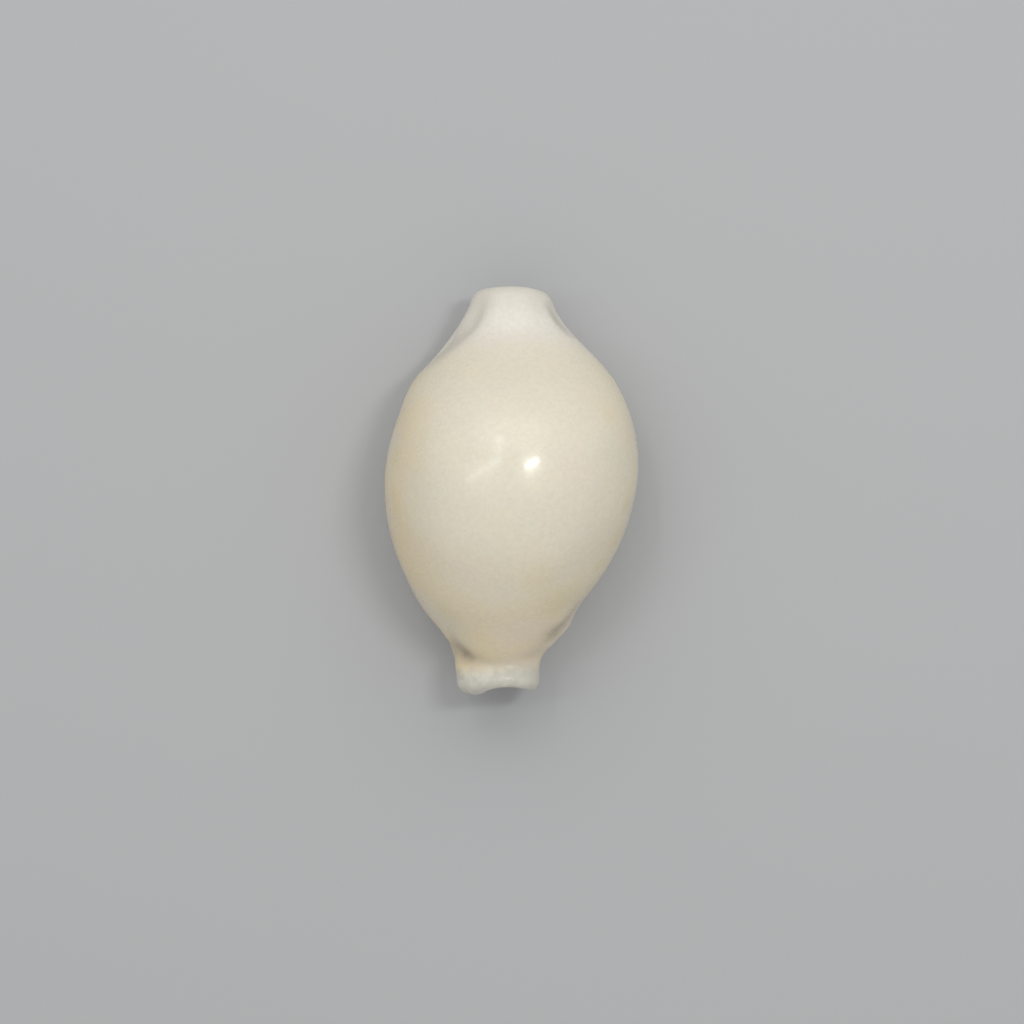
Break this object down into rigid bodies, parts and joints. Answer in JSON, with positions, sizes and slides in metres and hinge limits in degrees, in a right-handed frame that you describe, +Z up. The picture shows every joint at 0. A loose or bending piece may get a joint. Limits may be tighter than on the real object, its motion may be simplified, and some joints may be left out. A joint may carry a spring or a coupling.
{
  "type": "cowrie shell",
  "caption": "Egg-shaped glossy sea shell with a domed back, a short blunt beak at each end and a long narrow slit along its flat underside.",
  "frame": {"origin": "middle of the bounding box at its bottom, on the surface that the shell lies on", "axes": "+Y along the shell towards the spire end, +Z up through the domed back, -X on the side of the outer lip"},
  "size_m": [0.056, 0.09, 0.046],
  "materials": {
    "shell_enamel": "natural porcelain gloss, cream white"
  },
  "bodies": {
    "root": {"shell": "shell_enamel"}
  },
  "joints": []
}
